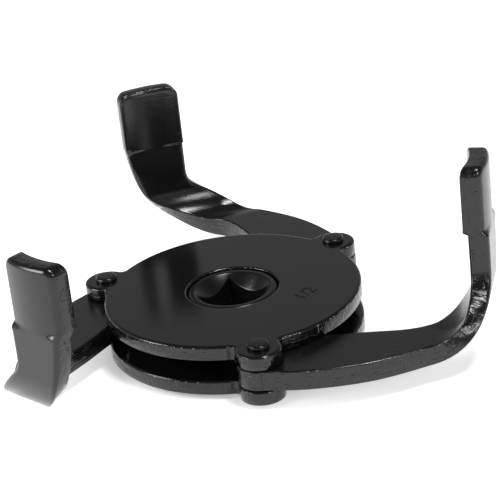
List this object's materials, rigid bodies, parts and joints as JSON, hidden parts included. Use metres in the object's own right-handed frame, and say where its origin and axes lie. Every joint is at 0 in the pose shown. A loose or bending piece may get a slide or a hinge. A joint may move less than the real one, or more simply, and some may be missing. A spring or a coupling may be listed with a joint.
{
  "type": "oil filter wrench",
  "caption": "Gear-linked adjustable oil filter wrench: a square-drive hub between riveted plates swings curved legs inward to grip a canister.",
  "frame": {"origin": "tool axis at the drive end, on the lower plate's underside", "axes": "+Z along the tool axis towards the leg tips; the front arm's pivot lies on the -Y side"},
  "size_m": [0.1264, 0.1153, 0.0484],
  "materials": {
    "plate_coat": "gloss black enamel over pressed steel",
    "hub_coat": "gloss black enamel over steel",
    "arm_coat": "gloss black enamel over pressed steel",
    "rivet_coat": "gloss black enamel over a peened rivet"
  },
  "bodies": {
    "frame": {"lower_plate": "plate_coat", "upper_plate": "plate_coat", "rivet_front": "rivet_coat", "rivet_back": "rivet_coat", "rivet_left": "rivet_coat"},
    "hub": {"drive_hub": "hub_coat"},
    "front_arm": {"arm_front": "arm_coat"},
    "back_arm": {"arm_back": "arm_coat"},
    "left_arm": {"arm_left": "arm_coat"}
  },
  "joints": [
    {"name": "hub_turn", "type": "hinge", "parent": "frame", "child": "hub", "pos_m": [0, 0, 0.00655], "axis": [0, 0, 1], "range_deg": [-48, 8]},
    {"name": "front_arm_swing", "type": "hinge", "parent": "frame", "child": "front_arm", "pos_m": [0, -0.035, 0.00655], "axis": [0, 0, 1], "range_deg": [-6, 36]},
    {"name": "back_arm_swing", "type": "hinge", "parent": "frame", "child": "back_arm", "pos_m": [0.03031, 0.0175, 0.00655], "axis": [0, 0, 1], "range_deg": [-6, 36]},
    {"name": "left_arm_swing", "type": "hinge", "parent": "frame", "child": "left_arm", "pos_m": [-0.03031, 0.0175, 0.00655], "axis": [0, 0, 1], "range_deg": [-6, 36]}
  ],
  "couplings": [
    {"joint": "front_arm_swing", "follows": "hub_turn", "ratio": -0.75},
    {"joint": "back_arm_swing", "follows": "hub_turn", "ratio": -0.75},
    {"joint": "left_arm_swing", "follows": "hub_turn", "ratio": -0.75}
  ]
}
